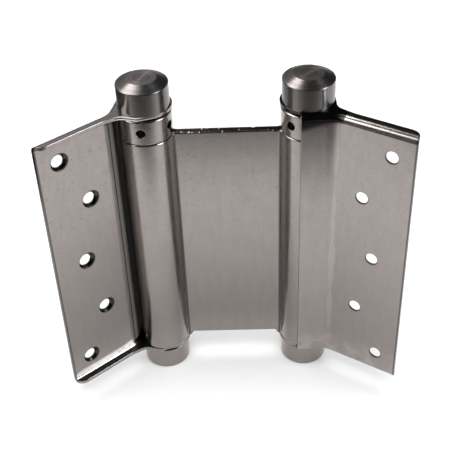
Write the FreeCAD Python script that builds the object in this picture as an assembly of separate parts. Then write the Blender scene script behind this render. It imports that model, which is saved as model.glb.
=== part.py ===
import FreeCAD, Part
import math
import os

# Double action spring hinge: two pressed leaves, each turning on its own sprung barrel,
# and the two barrels joined by one folded web. All lengths in millimetres, angles in degrees.
# The origin is on the frame leaf's mounting face, midway between its two outer screw holes.

# Sheet and leaves
leaf_height = 100.0
leaf_flat_width = 27.2
sheet_thickness = 1.2
bend_angle = 38.0
bend_distance = 6.3
bend_inside_radius = 7.0
free_edge_lap = 3.7
lip_depth = 3.8
lip_bend_radius = 2.3
lip_corner_radius = 3.4

# Ears that carry the pivots
ear_eye_inset = 0.55
ear_eye_offset = 1.0
ear_shoulder = -0.1
ear_shoulder_reach = 8.55
ear_shoulder_radius = 1.5
ear_root = 5.7
ear_root_reach = 8.1
ear_root_radius = 3.5
ear_blend_length = 4.2
ear_blend_radius = 10.0
ear_foot_depth = 3.1
ear_foot_radius = 0.5
ear_bore_diameter = 9.0

# Screw holes, measured from the leaf's outer edge and its mid height
screw_hole_diameter = 4.1
countersink_diameter = 5.7
outer_hole_inset = 7.6
inner_hole_inset = 16.5
middle_hole_inset = 11.7
outer_hole_height = 41.0
inner_hole_height = 22.9

# Barrels and web
barrel_diameter = 17.3
axis_spacing = 51.2
web_gap = 0.5
neck_radius = 1.5
web_bottom_rise = 1.9
web_bottom_slant = 1.0
barrel_edge_radius = 0.4

# Tension collars
collar_height = 8.1
collar_rim_radius = 0.4
collar_hole_count = 5
collar_hole_diameter = 3.0
collar_hole_depth = 4.4
collar_spigot_length = 5.0

# Plugs, caps and spindles
plug_diameter = 16.5
plug_side_height = 7.75
plug_chamfer_height = 1.6
plug_top_diameter = 9.6
plug_edge_radius = 0.25
cap_diameter = 16.3
cap_height = 8.5
cap_edge_radius = 0.7
spindle_diameter = 6.0
spindle_seat_depth = 5.0

# Springs and their anchors
wire_diameter = 2.0
coil_clearance = 0.95
coil_count = 8
anchor_height = 10.0
tang_length = 4.0
tang_clearance = 0.1
tang_bend_radius = 1.6

# Clearances
turning_gap = 0.35
running_fit = 0.05

# How far a cutting shape stands clear of the surface it cuts, and how closely an edge is matched to its place
cut_margin = 1.0
match_margin = 0.01

# Pose of the hinge as stored: turns about the vertical from the frame leaf's flat
web_angle = 212.5
door_leaf_angle = 253.3
frame_collar_turn = -99.9
door_collar_turn = -62.8

# Derived sizes
barrel_radius = barrel_diameter / 2
bore_radius = barrel_radius - sheet_thickness
ear_eye_radius = barrel_radius - ear_eye_inset
coil_radius = bore_radius - coil_clearance - wire_diameter / 2
web_thickness = 2 * sheet_thickness + web_gap
wall_offset = barrel_radius + turning_gap + sheet_thickness
half_height = leaf_height / 2
ear_inside = half_height - sheet_thickness
barrel_bottom = -ear_inside + turning_gap
collar_top = ear_inside - turning_gap
collar_bottom = collar_top - collar_height
barrel_top = collar_bottom - turning_gap
bend = math.radians(bend_angle)
wall_normal = FreeCAD.Vector(math.sin(bend), -math.cos(bend), 0)
wall_along = FreeCAD.Vector(math.cos(bend), math.sin(bend), 0)
bend_corner = wall_normal * wall_offset + wall_along * bend_distance
flat_end = bend_corner.x + leaf_flat_width
axis_to_mount_face = -bend_corner.y
up = FreeCAD.Vector(0, 0, 1)

frame_axis = FreeCAD.Vector(outer_hole_inset - flat_end, axis_to_mount_face, 0)
web_direction = FreeCAD.Vector(math.cos(math.radians(web_angle)), math.sin(math.radians(web_angle)), 0)
door_axis = frame_axis + web_direction * axis_spacing


def plan(out, along):
    """Point in a leaf's plan: out from the axis towards the wall, and along the wall."""
    return wall_normal * out + wall_along * along


def cylinder(radius, low, high, centre=FreeCAD.Vector(0, 0, 0)):
    """Upright cylinder between two heights."""
    return Part.makeCylinder(radius, high - low, FreeCAD.Vector(centre.x, centre.y, low), up)


def rounded_outline(corners):
    """Closed wire through (point, radius) corners, each corner rounded by its own radius."""
    edges = []
    starts = []
    ends = []
    count = len(corners)
    for index in range(count):
        point, radius = corners[index]
        before = (corners[index - 1][0] - point).normalize()
        after = (corners[(index + 1) % count][0] - point).normalize()
        half = before.getAngle(after) / 2
        reach = radius / math.tan(half)
        starts.append(point + before * reach)
        ends.append(point + after * reach)
        if radius > 0:
            middle = point + (before + after).normalize() * (radius / math.sin(half) - radius)
            edges.append(Part.Arc(starts[index], middle, ends[index]).toShape())
    for index in range(count):
        edges.append(Part.makeLine(ends[index], starts[(index + 1) % count]))
    return Part.Wire(Part.__sortEdges__(edges))


def slab(corners, low, high):
    """Plan outline of rounded corners, raised between two heights."""
    face = Part.Face(rounded_outline(corners))
    face.translate(up * low)
    return face.extrude(up * (high - low))


def edges_near(shape, points):
    """Edges whose centre lies at one of the given points."""
    found = []
    for edge in shape.Edges:
        middle = edge.valueAt((edge.FirstParameter + edge.LastParameter) / 2)
        if min(middle.distanceToPoint(point) for point in points) < match_margin:
            found.append(edge)
    return found


def edges_level(shape, height):
    """Edges that lie at one height."""
    found = []
    for edge in shape.Edges:
        box = edge.BoundBox
        if max(abs(box.ZMin - height), abs(box.ZMax - height)) < match_margin:
            found.append(edge)
    return found


def inset_corner(inset):
    """The bend's corner on a surface at an inset from the outer faces."""
    return bend_corner + FreeCAD.Vector(-inset * math.tan(bend / 2), inset, 0)


def wall_line_middles(inset, start, stop, height):
    """Middles of the wall's line, the bend and the flat's line, at an inset from the outer faces."""
    radius = bend_inside_radius + inset
    corner = inset_corner(inset)
    reach = radius * math.tan(bend / 2)
    wall_middle = (start + corner - wall_along * reach) * 0.5
    flat_middle = (corner + FreeCAD.Vector(reach, 0, 0) + stop) * 0.5
    turn = (FreeCAD.Vector(1, 0, 0) - wall_along).normalize()
    bend_middle = corner + turn * (radius / math.cos(bend / 2) - radius)
    middles = []
    for point in (wall_middle, bend_middle, flat_middle):
        middles.append(point + up * height)
        middles.append(point - up * height)
    return middles


def touch(centre, radius, point, sign):
    """Where a line from a point touches a circle, to the left for sign 1 and to the right for sign -1."""
    reach = point - centre
    turn = sign * math.degrees(math.acos(radius / reach.Length))
    return centre + FreeCAD.Rotation(up, turn).multVec(reach.normalize()) * radius


def leaf_envelope():
    """Outside of a leaf: the plan of its lips and ears over the full height, bent edges rounded."""
    lip_edge = bend_corner.y + lip_depth
    free_corner = plan(wall_offset, -free_edge_lap)
    end_corner = FreeCAD.Vector(flat_end, bend_corner.y, 0)
    eye_centre = FreeCAD.Vector(-ear_eye_offset, 0, 0)
    shoulder = plan(ear_shoulder, ear_shoulder_reach)
    foot = plan(wall_offset - ear_foot_depth, -free_edge_lap)
    corners = [
        (free_corner, 0),
        (bend_corner, bend_inside_radius),
        (end_corner, 0),
        (FreeCAD.Vector(flat_end, lip_edge, 0), lip_corner_radius),
        (FreeCAD.Vector(bend_corner.x + ear_blend_length, lip_edge, 0), ear_blend_radius),
        (plan(ear_root, ear_root_reach), ear_root_radius),
        (shoulder, ear_shoulder_radius),
        (touch(eye_centre, ear_eye_radius, shoulder, 1), 0),
        (eye_centre, 0),
        (touch(eye_centre, ear_eye_radius, foot, -1), 0),
        (foot, ear_foot_radius),
    ]
    plate = slab(corners, -half_height, half_height)
    eye = cylinder(ear_eye_radius, -half_height, half_height, eye_centre)
    body = plate.fuse(eye).removeSplitter()
    middles = wall_line_middles(0, free_corner, end_corner, half_height)
    return body.makeFillet(lip_bend_radius, edges_near(body, middles))


def leaf_hollow():
    """Space inside a leaf, between its ears and behind its wall."""
    beyond = 2 * flat_end
    corner = inset_corner(sheet_thickness)
    wall_start = plan(wall_offset - sheet_thickness, -beyond)
    flat_stop = FreeCAD.Vector(beyond, corner.y, 0)
    corners = [
        (wall_start, 0),
        (corner, bend_inside_radius + sheet_thickness),
        (flat_stop, 0),
        (FreeCAD.Vector(beyond, beyond, 0), 0),
        (wall_start - wall_normal * beyond, 0),
    ]
    body = slab(corners, -ear_inside, ear_inside)
    middles = wall_line_middles(sheet_thickness, wall_start, flat_stop, ear_inside)
    return body.makeFillet(lip_bend_radius - sheet_thickness, edges_near(body, middles))


def screw_hole(inset, height):
    """Through hole with its countersink on the side that faces the web."""
    face = bend_corner.y + sheet_thickness
    inward = FreeCAD.Vector(0, 1, 0)
    hole_radius = screw_hole_diameter / 2
    head_radius = countersink_diameter / 2
    place = FreeCAD.Vector(flat_end - inset, bend_corner.y - cut_margin, height)
    hole = Part.makeCylinder(hole_radius, sheet_thickness + 2 * cut_margin, place, inward)
    depth = head_radius - hole_radius
    mouth = FreeCAD.Vector(flat_end - inset, face - depth, height)
    return hole.fuse(Part.makeCone(hole_radius, head_radius + cut_margin, depth + cut_margin, mouth, inward))


def leaf():
    """One pressed leaf about its own barrel axis, with the flat along +X and the lips towards +Y."""
    body = leaf_envelope().cut(leaf_hollow())
    body = body.cut(cylinder(ear_bore_diameter / 2, -leaf_height, leaf_height))
    holes = [(middle_hole_inset, 0)]
    for sign in (1, -1):
        holes.append((outer_hole_inset, sign * outer_hole_height))
        holes.append((inner_hole_inset, sign * inner_hole_height))
    for inset, height in holes:
        body = body.cut(screw_hole(inset, height))
    return body


def centre_piece():
    """Folded strip that makes both barrels and the double web, about the frame barrel's axis."""
    far = FreeCAD.Vector(axis_spacing, 0, 0)
    shapes = []
    for radius, thickness, neck in (
        (barrel_radius, web_thickness, neck_radius),
        (bore_radius, web_gap, neck_radius + sheet_thickness),
    ):
        web = Part.makeBox(
            axis_spacing, thickness, barrel_top - barrel_bottom, FreeCAD.Vector(0, -thickness / 2, barrel_bottom)
        )
        tubes = cylinder(radius, barrel_bottom, barrel_top).fuse(cylinder(radius, barrel_bottom, barrel_top, far))
        body = tubes.fuse(web).removeSplitter()
        reach = math.sqrt(radius ** 2 - thickness ** 2 / 4)
        middle = (barrel_bottom + barrel_top) / 2
        necks = []
        for place in (reach, axis_spacing - reach):
            necks.append(FreeCAD.Vector(place, thickness / 2, middle))
            necks.append(FreeCAD.Vector(place, -thickness / 2, middle))
        shapes.append(body.makeFillet(neck, edges_near(body, necks)))
    outside, inside = shapes
    rims = edges_level(outside, barrel_bottom) + edges_level(outside, barrel_top)
    return outside.makeFillet(barrel_edge_radius, rims).cut(inside).cut(web_notch())


def web_notch():
    """Cut along the web's lower edge, with slanted ends beside the barrels."""
    low = barrel_bottom - web_bottom_rise
    high = barrel_bottom + web_bottom_rise
    side = barrel_radius + neck_radius / 2
    outline = [
        FreeCAD.Vector(side - web_bottom_slant, -barrel_radius, low),
        FreeCAD.Vector(axis_spacing - side + web_bottom_slant, -barrel_radius, low),
        FreeCAD.Vector(axis_spacing - side - web_bottom_slant, -barrel_radius, high),
        FreeCAD.Vector(side + web_bottom_slant, -barrel_radius, high),
    ]
    face = Part.Face(Part.makePolygon(outline + outline[:1]))
    return face.extrude(FreeCAD.Vector(0, barrel_diameter, 0))


def tang_hole(low, high, sign):
    """Upright hole for a spring's tang, beside the axis."""
    radius = wire_diameter / 2 + tang_clearance
    return cylinder(radius, low, high, FreeCAD.Vector(coil_radius, sign * tang_bend_radius, 0))


def tension_collar():
    """Ring flush with the barrel, holed for a winding bar, with a spigot in the barrel's mouth."""
    ring = cylinder(barrel_radius, collar_bottom, collar_top)
    rim = edges_near(ring, [FreeCAD.Vector(-barrel_radius, 0, collar_top)])
    ring = ring.makeFillet(collar_rim_radius, rim)
    spigot_bottom = collar_bottom - collar_spigot_length
    body = ring.fuse(cylinder(bore_radius - running_fit, spigot_bottom, collar_bottom)).removeSplitter()
    body = body.cut(cylinder(spindle_diameter / 2 + running_fit, spigot_bottom - cut_margin, collar_top + cut_margin))
    body = body.cut(tang_hole(spigot_bottom - cut_margin, spigot_bottom + tang_length, 1))
    height = (collar_bottom + collar_top) / 2
    for index in range(collar_hole_count):
        turn = math.radians(index * 360 / collar_hole_count)
        out = FreeCAD.Vector(math.cos(turn), math.sin(turn), 0)
        mouth = out * (barrel_radius + cut_margin) + up * height
        depth = collar_hole_depth + cut_margin
        body = body.cut(Part.makeCylinder(collar_hole_diameter / 2, depth, mouth, out * -1))
    return body


def top_plug():
    """Turned head above the top ear, with a stem in the ear's bore and a seat for the spindle."""
    side_top = half_height + plug_side_height
    head = cylinder(plug_diameter / 2, half_height, side_top)
    tip = Part.makeCone(plug_diameter / 2, plug_top_diameter / 2, plug_chamfer_height, up * side_top, up)
    stem = cylinder(ear_bore_diameter / 2, ear_inside, half_height)
    body = head.fuse([tip, stem]).removeSplitter()
    rims = edges_level(body, side_top) + edges_level(body, side_top + plug_chamfer_height)
    body = body.makeFillet(plug_edge_radius, rims)
    return body.cut(cylinder(spindle_diameter / 2, 0, half_height + spindle_seat_depth))


def bottom_cap():
    """Turned cap below the bottom ear, with a stem in the ear's bore and a seat for the spindle."""
    low = -half_height - cap_height
    head = cylinder(cap_diameter / 2, low, -half_height)
    rim = edges_near(head, [FreeCAD.Vector(-cap_diameter / 2, 0, low)])
    head = head.makeFillet(cap_edge_radius, rim)
    body = head.fuse(cylinder(ear_bore_diameter / 2, -half_height, -ear_inside)).removeSplitter()
    return body.cut(cylinder(spindle_diameter / 2, -half_height - spindle_seat_depth, 0))


def spindle():
    """Rod from the cap to the plug, on which the barrel and the collar turn."""
    reach = half_height + spindle_seat_depth
    return cylinder(spindle_diameter / 2, -reach, reach)


def spring_anchor():
    """Bush pressed into the barrel's foot, which holds the spring's lower tang."""
    top = barrel_bottom + anchor_height
    body = cylinder(bore_radius, barrel_bottom, top)
    body = body.cut(cylinder(spindle_diameter / 2 + running_fit, barrel_bottom - cut_margin, top + cut_margin))
    return body.cut(tang_hole(top - tang_length, top + cut_margin, -1))


def half_turn(start, rise):
    """Half a turn of wire that climbs from a point on one side of the axis to the other side."""
    section = Part.Face(Part.Wire(Part.makeCircle(wire_diameter / 2, start, FreeCAD.Vector(0, 1, 0))))
    middle = FreeCAD.Vector(0, 0, start.z + rise / 2)
    lean = rise / 2 if start.x > 0 else -rise / 2
    return section.revolve(middle, FreeCAD.Vector(lean, 0, abs(start.x)), 180)


def tang(start, sign):
    """Wire end bent upright, up for sign 1 and down for sign -1."""
    section = Part.Face(Part.Wire(Part.makeCircle(wire_diameter / 2, start, FreeCAD.Vector(0, 1, 0))))
    bend_centre = start + up * (sign * tang_bend_radius)
    elbow = section.revolve(bend_centre, FreeCAD.Vector(1, 0, 0), 90)
    foot = bend_centre + FreeCAD.Vector(0, sign * tang_bend_radius, 0)
    straight = Part.makeCylinder(wire_diameter / 2, tang_length - tang_clearance, foot, up * sign)
    return elbow.fuse(straight)


def torsion_spring():
    """Open wound spring between the anchor and the collar, with an upright tang at each end."""
    low = barrel_bottom + anchor_height + tang_bend_radius
    high = collar_bottom - collar_spigot_length - tang_bend_radius
    rise = (high - low) / (2 * coil_count)
    pieces = [tang(FreeCAD.Vector(coil_radius, 0, low), -1)]
    for index in range(2 * coil_count):
        side = coil_radius if index % 2 == 0 else -coil_radius
        pieces.append(half_turn(FreeCAD.Vector(side, 0, low + index * rise), rise))
    pieces.append(tang(FreeCAD.Vector(coil_radius, 0, high), 1))
    return pieces[0].fuse(pieces[1:])


def placed(shape, place, turn):
    """Copy of a shape turned about the vertical and set on an axis."""
    copy = shape.copy()
    copy.Placement = FreeCAD.Placement(place, FreeCAD.Rotation(up, turn))
    return copy


def hinge():
    """Every piece by name, in the stored pose."""
    pieces = {"centre_web_barrels": placed(centre_piece(), frame_axis, web_angle)}
    sides = (
        ("frame", frame_axis, 0, frame_collar_turn),
        ("door", door_axis, door_leaf_angle, door_collar_turn),
    )
    for name, axis, leaf_turn, collar_turn in sides:
        pieces[name + "_leaf"] = placed(leaf(), axis, leaf_turn)
        pieces[name + "_top_plug"] = placed(top_plug(), axis, leaf_turn)
        pieces[name + "_bottom_cap"] = placed(bottom_cap(), axis, leaf_turn)
        pieces[name + "_spindle"] = placed(spindle(), axis, leaf_turn)
        pieces[name + "_tension_collar"] = placed(tension_collar(), axis, collar_turn)
        pieces[name + "_torsion_spring"] = placed(torsion_spring(), axis, collar_turn)
        pieces[name + "_spring_anchor"] = placed(spring_anchor(), axis, collar_turn)
    return pieces


os.makedirs("parts", exist_ok=True)
for node, solid in hinge().items():
    solid.exportStep("parts/" + node + ".step")
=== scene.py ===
import math

import bpy
from mathutils import Matrix, Vector


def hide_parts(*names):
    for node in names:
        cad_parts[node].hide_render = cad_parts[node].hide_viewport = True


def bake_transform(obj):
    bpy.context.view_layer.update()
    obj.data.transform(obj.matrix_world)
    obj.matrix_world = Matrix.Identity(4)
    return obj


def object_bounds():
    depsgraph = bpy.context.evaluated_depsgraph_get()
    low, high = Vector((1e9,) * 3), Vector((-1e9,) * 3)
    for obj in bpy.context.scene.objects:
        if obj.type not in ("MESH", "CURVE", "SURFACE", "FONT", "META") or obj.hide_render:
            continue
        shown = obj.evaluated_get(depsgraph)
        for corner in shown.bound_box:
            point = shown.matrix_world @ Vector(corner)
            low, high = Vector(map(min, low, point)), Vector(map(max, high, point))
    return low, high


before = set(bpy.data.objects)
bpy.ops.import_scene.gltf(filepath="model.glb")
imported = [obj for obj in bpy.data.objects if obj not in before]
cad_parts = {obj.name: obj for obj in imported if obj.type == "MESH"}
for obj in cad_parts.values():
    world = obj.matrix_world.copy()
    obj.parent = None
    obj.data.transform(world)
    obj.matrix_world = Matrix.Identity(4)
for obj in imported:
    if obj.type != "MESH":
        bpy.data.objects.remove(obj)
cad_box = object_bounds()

# Looks of a double action spring hinge: nickel plated sheet and turned steel on the CAD's own
# meshes, and copies of the CAD's springs in the wire's material. Lengths are in metres and angles
# in degrees, unless a comment says otherwise. Shares and shades have no unit.

# Camera, as in the photograph; lens and sensor in millimetres
camera_lens = 75.0
camera_sensor = 36.0
camera_near = 0.01
camera_place = Vector((0.0888, -0.2214, 0.1984))
camera_azimuth = 34.05
camera_elevation = 37.75
camera_roll = -2.42

# Lamps that light the floor and don't show in the metal
fill_strength = 3.75
fill_spread = 70.0
front_elevation = 50.0
front_distance = 1.1
front_size = 0.9
front_radiance = 2.0

# Lamps that only show in the metal: azimuth, elevation, width, height, radiance, colour
white = (1, 1, 1)
cool_white = (0.82, 0.95, 1)
lamp_distance = 0.9
mirrored_lamps = {
    "strip": (99, 20, 0.35, 0.52, 18, cool_white),
    "key": (-50, 36, 0.62, 0.7, 7.5, white),
    "top": (-104, 59, 0.25, 0.35, 15, white),
    "back": (240, 32, 0.6, 0.6, 0.5, white),
}

# Surround that the metal sees: its brightness up to one height and from another, as sines
surround_dark = 0.01
surround_dark_stop = 0.2
surround_light = 0.04
surround_light_start = 0.75

# Floor, and dark cards on it, towards the camera and to the left
floor_reach = 3.0
floor_shade = 0.95
front_start = 0.082
front_fade = 0.09
left_azimuth = -75.0
left_start = 0.2
left_fade = 0.05
card_depth = 0.8
card_width = 1.6
card_lift = 0.0004
card_shade = 0.01

# Colours of the metals
sheet_colour = (0.279, 0.252, 0.240)
turned_colour = (0.15, 0.136, 0.131)
wire_colour = (0.11, 0.105, 0.1)
# Pale colour of the painted highlights on the web's upper edge and on the door leaf's ear rim
highlight_colour = (0.9, 0.9, 0.9)

# Noise: the values between which its effect runs, its middle and its detail
noise_low = 0.3
noise_middle = 0.5
noise_high = 0.7
noise_detail = 4
coarse_detail = 2

# Plated sheet: noises with their scales along the three axes, and rounding of the edges
streak_scale = (500, 500, 120)
streak_contrast = 0.04
pit_scale = (1000, 1000, 2900)
pit_start = 0.4
pit_full = 0.3
pit_shade = 0.66
mottle_scale = (260, 260, 260)
sheet_roughness = (0.17, 0.24)
edge_radius = 0.0003
edge_samples = 6

# Painted shade on the lower part of the sheet, for the floor's shadow that it reflects: it grows
# from the top height to the middle one and fades out again by the bottom one
shade_top = 0.03
shade_middle = -0.033
shade_bottom = -0.048
painted_low_shade = 0.74
frame_painted_low_shade = 0.82

# Barrels and web: painted shadow in the roots of the web, and painted highlight flecks on its
# upper edge
neck_start = 0.0088
neck_stop = 0.0094
neck_painted_shadow = 0.35
fleck_height = 0.03
fleck_facing = 0.7
fleck_scale = (800, 800, 0)
fleck_start = 0.66

# Screw holes of a leaf, from the line of its outer pair and from its mid height
screw_holes = ((0, 0.041), (-0.0089, 0.0229), (-0.0041, 0), (-0.0089, -0.0229), (0, -0.041))
# Painted shade of the dark outline along a leaf's outer edge
edge_painted_shade = 0.4

# Frame leaf: painted shade at its holes, painted dark reflection under its ear, painted dark
# outline along its sheared edge, clouds low down
hole_shade_shift = (-0.00005, -0.00025)
hole_shade_radius = 0.0023
hole_painted_shade = 0.25
dark_reflection_height = 0.0440
dark_reflection_slant = 0.28
dark_reflection_fade = 0.0012
dark_reflection_reach = -0.0165
dark_reflection_shade = 0.15
frame_edge = 0.0071
cloud_top = -0.037
cloud_bottom = -0.047
cloud_scale = (180, 180, 240)
cloud_start = 0.45
cloud_full = 0.6
cloud_shade = 1.25

# Line of thicker plating on the frame leaf
flow_place = -0.0184
flow_width = 0.00018
flow_wander = 0.0016
flow_wander_scale = (0, 0, 130)
flow_swell = 0.006
flow_swell_scale = (0, 0, 60)
flow_swell_start = 0.42
flow_shade = 1.14

# Door leaf at rest: its direction away from the pivot, and out of its countersunk face
door_heading = Vector((-0.2874, -0.9578, 0))
door_face = Vector((0.9578, -0.2874, 0))

# Door leaf: painted shade at the rims of its countersinks and painted dark outline along its
# sheared edge, measured along its heading
door_hole_line = 0.03084
sink_shift = (-0.00035, -0.0001)
sink_radius = 0.00315
sink_painted_shade = 0.15
door_edge = 0.0379

# Door leaf: crease with a painted dark reflection along it, duller bend and wall between the
# ears, and pale strip beside the crease
bend_start = 0.0136
bend_fade = 0.0005
bend_dull = 0.22
crease_place = 0.0118
bend_line_width = 0.00022
bend_line_shade = 0.2
wall_fade = 0.0003
wall_dull = 0.2
strip_stop = 0.0098
strip_fade = 0.0002
strip_share = 0.6
ear_height = 0.0466
ear_fade = 0.0006

# Door leaf: painted highlight lines on its upper ear's rim, brightest on the side towards -Y, and
# lean of its lower lip
rim_top = 0.05
rim_bottom = 0.0488
rim_line = 0.00028
rim_upright = 0.5
rim_lit_start = 0.2
rim_lit_full = 0.9
lip_height = -0.0445
lip_lean = 0.14
lip_start = 0.6
lip_full = 0.95

# Turned steel: rings, gloss and painted shadow at its foot, with heights as shares of the piece's
# own height
box_middle = (0.5, 0.5, 0)
ring_contrast = 0.4
ring_width = 0.4
ring_scale = 45
ring_detail = 3
gloss_spread = 0.75
quarter_turn = 0.25
foot_shadow_top = 0.11
foot_shadow_bottom = 0.06
foot_shadow_shade = 0.2
bevel_start = 0.84
bevel_full = 0.85
flat_start = 0.995
side_roughness = 0.24
bevel_roughness = 0.36
flat_polish = 0.07
bevel_dull = 0.03
flat_dull = 0.2


def axis_of(name):
    """Middle of a turned piece, on its upright axis."""
    corners = [Vector(corner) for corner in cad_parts[name].bound_box]
    return sum(corners, Vector()) / len(corners)


frame_axis = axis_of("frame_top_plug")
door_axis = axis_of("door_top_plug")
centre = (cad_box[0] + cad_box[1]) / 2
floor_height = cad_box[0].z


def direction(azimuth, elevation):
    """Unit vector from the object; azimuth 0 is towards -Y, and turns towards +X."""
    a = math.radians(azimuth)
    e = math.radians(elevation)
    return Vector((math.sin(a) * math.cos(e), -math.cos(a) * math.cos(e), math.sin(e)))


def add_object(name, data):
    """New object in the scene."""
    item = bpy.data.objects.new(name, data)
    bpy.context.scene.collection.objects.link(item)
    return item


def grey(value):
    """Opaque grey."""
    return (value, value, value, 1)


def shade(colour, share):
    """Colour made lighter or darker."""
    return [part * share for part in colour]


def add_camera():
    """Camera at the photograph's place and angle."""
    data = bpy.data.cameras.new("camera")
    data.sensor_width = camera_sensor
    data.lens = camera_lens
    data.clip_start = camera_near
    camera = add_object("camera", data)
    back = direction(camera_azimuth, camera_elevation)
    look = (-back).to_track_quat("-Z", "Y").to_matrix().to_4x4()
    roll = Matrix.Rotation(math.radians(camera_roll), 4, "Z")
    camera.matrix_world = Matrix.Translation(camera_place) @ look @ roll
    bpy.context.scene.camera = camera


def soft_box(name, azimuth, elevation, distance, width, height, radiance):
    """Rectangular lamp that faces the object."""
    data = bpy.data.lights.new(name, "AREA")
    data.shape = "RECTANGLE"
    data.size = width
    data.size_y = height
    data.energy = radiance * math.pi * width * height
    lamp = add_object(name, data)
    out = direction(azimuth, elevation)
    lamp.location = centre + out * distance
    lamp.rotation_euler = (-out).to_track_quat("-Z", "Y").to_euler()
    return lamp


def overhead(name, strength, spread):
    """Wide even light from straight above."""
    data = bpy.data.lights.new(name, "SUN")
    data.energy = strength
    data.angle = math.radians(spread)
    return add_object(name, data)


def add_lights():
    """Even light on the floor, and lamps that only show in the metal."""
    fill = overhead("fill", fill_strength, fill_spread)
    front = soft_box("front", camera_azimuth, front_elevation, front_distance,
                     front_size, front_size, front_radiance)
    fill.visible_glossy = False
    front.visible_glossy = False
    for name, (azimuth, elevation, width, height, radiance, colour) in mirrored_lamps.items():
        lamp = soft_box(name, azimuth, elevation, lamp_distance, width, height, radiance)
        lamp.data.color = colour
        lamp.visible_diffuse = False


def add_world():
    """Pale backdrop to the camera; to the metal a dark surround, a little lighter overhead."""
    world = bpy.data.worlds.new("surround")
    world.use_nodes = True
    nodes = world.node_tree.nodes
    links = world.node_tree.links
    place = nodes.new("ShaderNodeTexCoord")
    split = nodes.new("ShaderNodeSeparateXYZ")
    ramp = nodes.new("ShaderNodeValToRGB")
    dark, light = ramp.color_ramp.elements
    dark.position = surround_dark_stop
    dark.color = grey(surround_dark)
    light.position = surround_light_start
    light.color = grey(surround_light)
    seen = nodes.new("ShaderNodeLightPath")
    backdrop = nodes.new("ShaderNodeMix")
    backdrop.data_type = "RGBA"
    backdrop.inputs["B"].default_value = (*white, 1)
    links.new(place.outputs["Generated"], split.inputs["Vector"])
    links.new(split.outputs["Z"], ramp.inputs["Fac"])
    links.new(seen.outputs["Is Camera Ray"], backdrop.inputs["Factor"])
    links.new(ramp.outputs["Color"], backdrop.inputs["A"])
    links.new(backdrop.outputs["Result"], nodes["Background"].inputs["Color"])
    bpy.context.scene.world = world


class Metal:
    """Metal material whose colour, gloss and relief are built up from nodes."""

    def __init__(self, name):
        self.material = bpy.data.materials.new(name)
        self.material.use_nodes = True
        self.nodes = self.material.node_tree.nodes
        self.links = self.material.node_tree.links
        self.shader = self.nodes["Principled BSDF"]
        self.shader.inputs["Metallic"].default_value = 1
        bevel = self.node("ShaderNodeBevel", Radius=edge_radius)
        bevel.samples = edge_samples
        self.normal = bevel.outputs["Normal"]
        self.use("Normal", self.normal)

    def node(self, kind, **values):
        """New node with values for its inputs."""
        made = self.nodes.new(kind)
        for key, value in values.items():
            made.inputs[key.replace("_", " ")].default_value = value
        return made

    def use(self, socket, value):
        """Sends a value to the shader."""
        self.links.new(value, self.shader.inputs[socket])

    def feed(self, sockets, values):
        """Feeds inputs, each from another node's output or with a plain value."""
        for socket, value in zip(sockets, values):
            if isinstance(value, bpy.types.NodeSocket):
                self.links.new(value, socket)
            else:
                socket.default_value = value

    def math(self, operation, first, second):
        """Sum, product or comparison of two values."""
        made = self.node("ShaderNodeMath")
        made.operation = operation
        self.feed(made.inputs, (first, second))
        return made.outputs["Value"]

    def product(self, first, *others):
        """Product of several shares."""
        for other in others:
            first = self.math("MULTIPLY", first, other)
        return first

    def within(self, value, middle, reach):
        """All where a value lies within a reach of the middle, and none elsewhere."""
        off = self.math("ABSOLUTE", self.math("SUBTRACT", value, middle), 0)
        return self.math("LESS_THAN", off, reach)

    def step(self, value, start, stop):
        """Share that runs smoothly from none at start to all at stop."""
        spread = self.node("ShaderNodeMapRange", From_Min=start, From_Max=stop)
        spread.interpolation_type = "SMOOTHSTEP"
        self.links.new(value, spread.inputs["Value"])
        return spread.outputs["Result"]

    def vector(self, operation, first, second=(0, 0, 0)):
        """Sum, product or length of vectors."""
        made = self.node("ShaderNodeVectorMath")
        made.operation = operation
        self.feed(made.inputs, (first, second))
        return made.outputs

    def coordinates(self, kind):
        """Place on the surface, or its normal."""
        return self.node("ShaderNodeTexCoord").outputs[kind]

    def parts(self, kind):
        """The three parts of a place on the surface or of its normal."""
        split = self.node("ShaderNodeSeparateXYZ")
        self.links.new(self.coordinates(kind), split.inputs["Vector"])
        return split.outputs

    def place_from(self, origin):
        """Place on the surface, measured from a point."""
        return self.vector("SUBTRACT", self.coordinates("Object"), origin)["Vector"]

    def facing(self, way):
        """How far the surface faces a direction."""
        return self.vector("DOT_PRODUCT", self.coordinates("Normal"), way)["Value"]

    def noise(self, scale, detail=noise_detail):
        """Noise over the surface, with its own scale along each axis."""
        mapping = self.node("ShaderNodeMapping", Scale=scale)
        noise = self.node("ShaderNodeTexNoise", Scale=1, Detail=detail)
        self.links.new(self.coordinates("Object"), mapping.inputs["Vector"])
        self.links.new(mapping.outputs["Vector"], noise.inputs["Vector"])
        return noise.outputs["Fac"]

    def vary(self, noise, colour, contrast):
        """Colour that runs from darker to lighter with a noise."""
        ramp = self.node("ShaderNodeValToRGB")
        low, high = ramp.color_ramp.elements
        low.position = noise_low
        low.color = (*shade(colour, 1 - contrast), 1)
        high.position = noise_high
        high.color = (*shade(colour, 1 + contrast), 1)
        self.links.new(noise, ramp.inputs["Fac"])
        return ramp.outputs["Color"]

    def mix(self, share, first, second, blend="MIX"):
        """Blend of a colour so far with another."""
        made = self.node("ShaderNodeMix")
        made.data_type = "RGBA"
        made.blend_type = blend
        sockets = [made.inputs[name] for name in ("Factor", "A", "B")]
        self.feed(sockets, (share, first, (*second, 1)))
        return made.outputs["Result"]

    def overlay(self, share, colour):
        """Lays another colour over the shader's own."""
        base = self.shader.inputs["Base Color"].links[0].from_socket
        self.use("Base Color", self.mix(share, base, colour))

    def gloss(self, noise, low, high):
        """Roughness that runs from low to high with a noise."""
        spread = self.node("ShaderNodeMapRange", From_Min=noise_low, From_Max=noise_high,
                           To_Min=low, To_Max=high)
        self.links.new(noise, spread.inputs["Value"])
        self.roughness = spread.outputs["Result"]
        self.use("Roughness", self.roughness)


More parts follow.
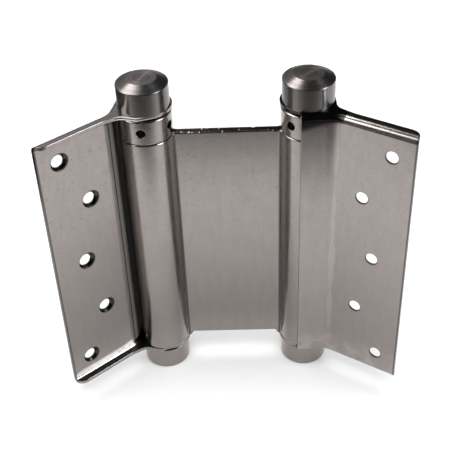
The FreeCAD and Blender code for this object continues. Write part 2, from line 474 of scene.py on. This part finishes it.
def plated_sheet(name, colour, marks=(), finish=None, foot=painted_low_shade):
    """Nickel plated sheet: satin, with a faint mottle, fine pits, its own marks and painted shade
    on its lower part.
    """
    metal = Metal(name)
    tint = metal.vary(metal.noise(streak_scale), colour, streak_contrast)
    height = metal.parts("Object")["Z"]
    # Painted shade low on the sheet, standing in for the floor's shadow that the sheet reflects
    low = metal.math("SUBTRACT", metal.step(height, shade_top, shade_middle),
                     metal.step(height, shade_middle, shade_bottom))
    grain = metal.step(metal.noise(pit_scale, coarse_detail), pit_start, pit_full)
    pits = metal.product(grain, metal.math("SUBTRACT", 1, low))
    tint = metal.mix(pits, tint, shade(colour, pit_shade))
    for mark, share in marks:
        tint = metal.mix(mark(metal), tint, shade(colour, share))
    tint = metal.mix(low, tint, (foot, foot, foot), "MULTIPLY")
    metal.use("Base Color", tint)
    metal.gloss(metal.noise(mottle_scale), *sheet_roughness)
    if finish:
        finish(metal)
    return metal.material


def neck_shadow_lines(metal):
    """Painted shadow in the roots of the web beside both barrels."""
    middle = (neck_start + neck_stop) / 2
    reach = (neck_stop - neck_start) / 2
    shares = []
    for axis in (frame_axis, door_axis):
        flat = metal.vector("MULTIPLY", metal.place_from(axis), (1, 1, 0))["Vector"]
        far = metal.vector("LENGTH", flat)["Value"]
        shares.append(metal.within(far, middle, reach))
    return metal.math("MAXIMUM", *shares)


def web_edge_highlight(metal):
    """Painted highlight: pale flecks, not metallic, along the web's rough upper edge where it
    catches the light.
    """
    up = metal.math("GREATER_THAN", metal.parts("Normal")["Z"], fleck_facing)
    high = metal.math("GREATER_THAN", metal.parts("Object")["Z"], fleck_height)
    spot = metal.math("GREATER_THAN", metal.noise(fleck_scale, coarse_detail), fleck_start)
    fleck_highlight = metal.product(up, high, spot)
    metal.use("Metallic", metal.math("SUBTRACT", 1, fleck_highlight))
    metal.overlay(fleck_highlight, highlight_colour)


def near_holes(metal, across, height, shift, radius):
    """Discs about the five screw holes of a leaf, shifted a little to one side."""
    share = 0
    for hole_across, hole_height in screw_holes:
        aside = metal.math("SUBTRACT", across, hole_across + shift[0])
        above = metal.math("SUBTRACT", height, hole_height + shift[1])
        far = metal.math("ADD", metal.product(aside, aside), metal.product(above, above))
        share = metal.math("MAXIMUM", share, metal.math("LESS_THAN", far, radius * radius))
    return share


def hole_rim_shade(metal):
    """Painted shade on the lower rims of the frame leaf's screw holes."""
    place = metal.parts("Object")
    back = metal.math("LESS_THAN", metal.parts("Normal")["Y"], 0)
    return metal.product(back, near_holes(metal, place["X"], place["Z"], hole_shade_shift, hole_shade_radius))


def ear_dark_reflection(metal):
    """Painted dark reflection on the frame leaf, under its upper ear."""
    place = metal.parts("Object")
    lean = metal.product(metal.math("SUBTRACT", place["X"], frame_axis.x), dark_reflection_slant)
    high = metal.step(metal.math("SUBTRACT", place["Z"], lean),
                      dark_reflection_height - dark_reflection_fade, dark_reflection_height + dark_reflection_fade)
    return metal.product(high, metal.math("LESS_THAN", place["X"], dark_reflection_reach))


def frame_edge_shade(metal):
    """Painted dark outline along the frame leaf's sheared outer edge."""
    return metal.math("GREATER_THAN", metal.parts("Object")["X"], frame_edge)


def lower_clouds(metal):
    """Cloudy lighter plating near the frame leaf's lower edge."""
    low = metal.step(metal.parts("Object")["Z"], cloud_top, cloud_bottom)
    return metal.product(low, metal.step(metal.noise(cloud_scale), cloud_start, cloud_full))


def plating_flow(metal):
    """Thin wandering line of thicker plating down the frame leaf's bend, with swellings."""
    sway = metal.math("SUBTRACT", metal.noise(flow_wander_scale), noise_middle)
    middle = metal.math("ADD", metal.product(sway, flow_wander), flow_place)
    swell = metal.math("SUBTRACT", metal.noise(flow_swell_scale), flow_swell_start)
    swell = metal.product(metal.math("MAXIMUM", swell, 0), flow_swell)
    return metal.within(metal.parts("Object")["X"], middle, metal.math("ADD", swell, flow_width))


def along_door_leaf(metal):
    """Distance across the door leaf from its pivot axis."""
    return metal.vector("DOT_PRODUCT", metal.place_from(door_axis), door_heading)["Value"]


def between_ears(metal):
    """Height between the two ears of a leaf."""
    height = metal.math("ABSOLUTE", metal.parts("Object")["Z"], 0)
    return metal.step(height, ear_height, ear_height - ear_fade)


def sink_rim_shade(metal):
    """Painted shade on the rims of the door leaf's countersinks, on the side of the bend, where
    the shaded cone of a wider countersink would show.
    """
    across = metal.math("SUBTRACT", along_door_leaf(metal), door_hole_line)
    front = metal.math("GREATER_THAN", metal.facing(door_face), 0)
    height = metal.parts("Object")["Z"]
    return metal.product(front, near_holes(metal, across, height, sink_shift, sink_radius))


def door_edge_shade(metal):
    """Painted dark outline along the door leaf's sheared outer edge."""
    return metal.math("GREATER_THAN", along_door_leaf(metal), door_edge)


def bend_shade_line(metal):
    """Painted dark reflection: a fine dark line in the door leaf's bend, along its crease."""
    line = metal.within(along_door_leaf(metal), crease_place, bend_line_width)
    return metal.product(line, between_ears(metal))


def ear_rim_highlight(metal):
    """Painted highlight lines along both edges of the door leaf's upper ear, at the rim,
    brightest where it faces -Y.
    """
    height = metal.parts("Object")["Z"]
    upper = metal.math("GREATER_THAN", height, rim_top - rim_line)
    lower = metal.within(height, rim_bottom + rim_line / 2, rim_line / 2)
    upright = metal.within(metal.parts("Normal")["Z"], 0, rim_upright)
    near = metal.math("LESS_THAN", along_door_leaf(metal), crease_place)
    lit_side = metal.step(metal.facing(direction(0, 0)), rim_lit_start, rim_lit_full)
    return metal.product(metal.math("MAXIMUM", upper, lower), upright, near, lit_side)


def lean_lip(metal):
    """Leans the normal of the door leaf's lower lip out a little."""
    up = metal.step(metal.parts("Normal")["Z"], lip_start, lip_full)
    low = metal.math("LESS_THAN", metal.parts("Object")["Z"], lip_height)
    turn = metal.node("ShaderNodeVectorTransform", Vector=door_face)
    turn.vector_type = "VECTOR"
    turn.convert_from = "OBJECT"
    turn.convert_to = "WORLD"
    scaled = metal.vector("SCALE", turn.outputs["Vector"])["Vector"]
    metal.links.new(metal.product(up, low, lip_lean), scaled.node.inputs["Scale"])
    leaning = metal.vector("ADD", metal.normal, scaled)["Vector"]
    metal.use("Normal", metal.vector("NORMALIZE", leaning)["Vector"])


def door_leaf_finish(metal):
    """Duller bend and wall, pale strip, painted highlight lines on the ear's rim, and the lip's
    lean.
    """
    across = along_door_leaf(metal)
    between = between_ears(metal)
    bent = metal.step(across, bend_start, bend_start - bend_fade)
    wall = metal.step(across, crease_place, crease_place - wall_fade)
    dull = metal.math("ADD", metal.product(bent, bend_dull), metal.product(wall, wall_dull))
    metal.use("Roughness", metal.math("ADD", metal.roughness, metal.product(dull, between)))
    beside = metal.step(across, strip_stop - strip_fade, strip_stop)
    strip = metal.product(wall, between, strip_share, beside)
    rim_highlight = ear_rim_highlight(metal)
    metal.use("Metallic", metal.math("SUBTRACT", 1, metal.math("MAXIMUM", strip, rim_highlight)))
    metal.overlay(rim_highlight, highlight_colour)
    lean_lip(metal)


def rings(metal):
    """Noise that changes with the radius and the height only."""
    place = metal.vector("SUBTRACT", metal.coordinates("Generated"), box_middle)["Vector"]
    split = metal.node("ShaderNodeSeparateXYZ")
    metal.links.new(place, split.inputs["Vector"])
    flat = metal.vector("MULTIPLY", place, (ring_width, ring_width, 0))["Vector"]
    both = metal.node("ShaderNodeCombineXYZ")
    metal.links.new(metal.vector("LENGTH", flat)["Value"], both.inputs["X"])
    metal.links.new(split.outputs["Z"], both.inputs["Y"])
    noise = metal.node("ShaderNodeTexNoise", Scale=ring_scale, Detail=ring_detail)
    metal.links.new(both.outputs["Vector"], noise.inputs["Vector"])
    return noise.outputs["Fac"]


def turned_steel(name, colour):
    """Lathe turned steel: fine rings about the upright axis, gloss spread across them, painted
    shadow at its foot.
    """
    metal = Metal(name)
    metal.shader.inputs["Anisotropic"].default_value = gloss_spread
    metal.shader.inputs["Anisotropic Rotation"].default_value = quarter_turn
    tangent = metal.node("ShaderNodeTangent")
    tangent.direction_type = "RADIAL"
    tangent.axis = "Z"
    metal.use("Tangent", tangent.outputs["Tangent"])
    height = metal.parts("Generated")["Z"]
    ringed = metal.vary(rings(metal), colour, ring_contrast)
    # Painted shadow around the foot of the piece
    foot = metal.step(height, foot_shadow_top, foot_shadow_bottom)
    metal.use("Base Color", metal.mix(foot, ringed, shade(colour, foot_shadow_shade)))
    top = metal.math("GREATER_THAN", height, bevel_full)
    flat = metal.math("GREATER_THAN", height, flat_start)
    spread = metal.node("ShaderNodeMapRange", From_Min=bevel_start, From_Max=bevel_full,
                        To_Min=side_roughness, To_Max=bevel_roughness)
    metal.links.new(height, spread.inputs["Value"])
    polish = metal.product(flat, flat_polish)
    metal.use("Roughness", metal.math("SUBTRACT", spread.outputs["Result"], polish))
    dull = metal.math("ADD", metal.product(flat, flat_dull), metal.product(top, bevel_dull))
    metal.use("Metallic", metal.math("SUBTRACT", 1, dull))
    return metal.material


def square(name, corners, material):
    """Flat four-cornered stage piece."""
    mesh = bpy.data.meshes.new(name)
    mesh.from_pydata(corners, [], [(0, 1, 2, 3)])
    mesh.materials.append(material)
    return add_object(name, mesh)


def floor_material():
    """Plain matt pale paper."""
    material = bpy.data.materials.new("pale_floor")
    material.use_nodes = True
    shader = material.node_tree.nodes["Principled BSDF"]
    shader.inputs["Base Color"].default_value = grey(floor_shade)
    shader.inputs["Roughness"].default_value = 1
    shader.inputs["Specular IOR Level"].default_value = 0
    return material


def add_floor(reach):
    """Large pale floor under the object."""
    sides = ((-reach, -reach), (reach, -reach), (reach, reach), (-reach, reach))
    square("floor", [(*side, floor_height) for side in sides], floor_material())


def card_material(name, reach):
    """Black that fades in from the card's near edge."""
    material = bpy.data.materials.new(name)
    material.use_nodes = True
    nodes = material.node_tree.nodes
    links = material.node_tree.links
    nodes.remove(nodes["Principled BSDF"])
    place = nodes.new("ShaderNodeTexCoord")
    split = nodes.new("ShaderNodeSeparateXYZ")
    fade = nodes.new("ShaderNodeMapRange")
    fade.interpolation_type = "SMOOTHSTEP"
    fade.inputs["From Max"].default_value = reach / card_depth
    clear = nodes.new("ShaderNodeBsdfTransparent")
    dark = nodes.new("ShaderNodeBsdfDiffuse")
    dark.inputs["Color"].default_value = grey(card_shade)
    mix = nodes.new("ShaderNodeMixShader")
    links.new(place.outputs["Generated"], split.inputs["Vector"])
    links.new(split.outputs["Y"], fade.inputs["Value"])
    links.new(fade.outputs["Result"], mix.inputs["Fac"])
    links.new(clear.outputs["BSDF"], mix.inputs[1])
    links.new(dark.outputs["BSDF"], mix.inputs[2])
    links.new(mix.outputs["Shader"], nodes["Material Output"].inputs["Surface"])
    return material


def add_card(name, azimuth, start, reach, lift):
    """Dark card on the floor, fading in from its near edge, which only the metal sees."""
    half = card_width / 2
    corners = [(-half, 0, 0), (half, 0, 0), (half, card_depth, 0), (-half, card_depth, 0)]
    card = square(name, corners, card_material(name, reach))
    out = direction(azimuth, 0)
    card.location = out * start + Vector((0, 0, floor_height + lift))
    card.rotation_euler.z = math.atan2(-out.x, out.y)
    card.visible_camera = False
    card.visible_diffuse = False
    card.visible_shadow = False


def coat(mesh, material):
    """Gives a mesh one material."""
    mesh.materials.clear()
    mesh.materials.append(material)


def dress(material, names):
    """Gives a material to CAD nodes."""
    for name in names:
        coat(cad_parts[name].data, material)


def add_spring(side, material):
    """Copy of the CAD's torsion spring in the given material, in place of the CAD node, which it
    hides.
    """
    node = side + "torsion_spring"
    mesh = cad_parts[node].data.copy()
    coat(mesh, material)
    spring = add_object(side + "wound_spring", mesh)
    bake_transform(spring)
    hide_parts(node)


strip_marks = [(neck_shadow_lines, neck_painted_shadow)]
frame_marks = [(lower_clouds, cloud_shade), (plating_flow, flow_shade), (hole_rim_shade, hole_painted_shade),
               (ear_dark_reflection, dark_reflection_shade), (frame_edge_shade, edge_painted_shade)]
door_marks = [(bend_shade_line, bend_line_shade), (door_edge_shade, edge_painted_shade), (sink_rim_shade, sink_painted_shade)]

sheet = plated_sheet("plated_sheet", sheet_colour)
turned = turned_steel("turned_plug", turned_colour)
strip = plated_sheet("plated_strip", sheet_colour, strip_marks, web_edge_highlight)
frame_sheet = plated_sheet("plated_frame_leaf", sheet_colour, frame_marks, foot=frame_painted_low_shade)
door_sheet = plated_sheet("plated_door_leaf", sheet_colour, door_marks, door_leaf_finish)
wire = plated_sheet("spring_wire", wire_colour)

dress(strip, ["centre_web_barrels"])
dress(frame_sheet, ["frame_leaf"])
dress(door_sheet, ["door_leaf"])
for side, axis in (("frame_", frame_axis), ("door_", door_axis)):
    dress(sheet, [side + "tension_collar", side + "bottom_cap"])
    dress(turned, [side + "top_plug", side + "spindle", side + "spring_anchor"])
    add_spring(side, wire)

bpy.context.scene.view_settings.view_transform = "Standard"
add_camera()
add_world()
add_floor(floor_reach)
add_card("front_card", camera_azimuth, front_start, front_fade, card_lift)
add_card("left_card", left_azimuth, left_start, left_fade, 2 * card_lift)
add_lights()
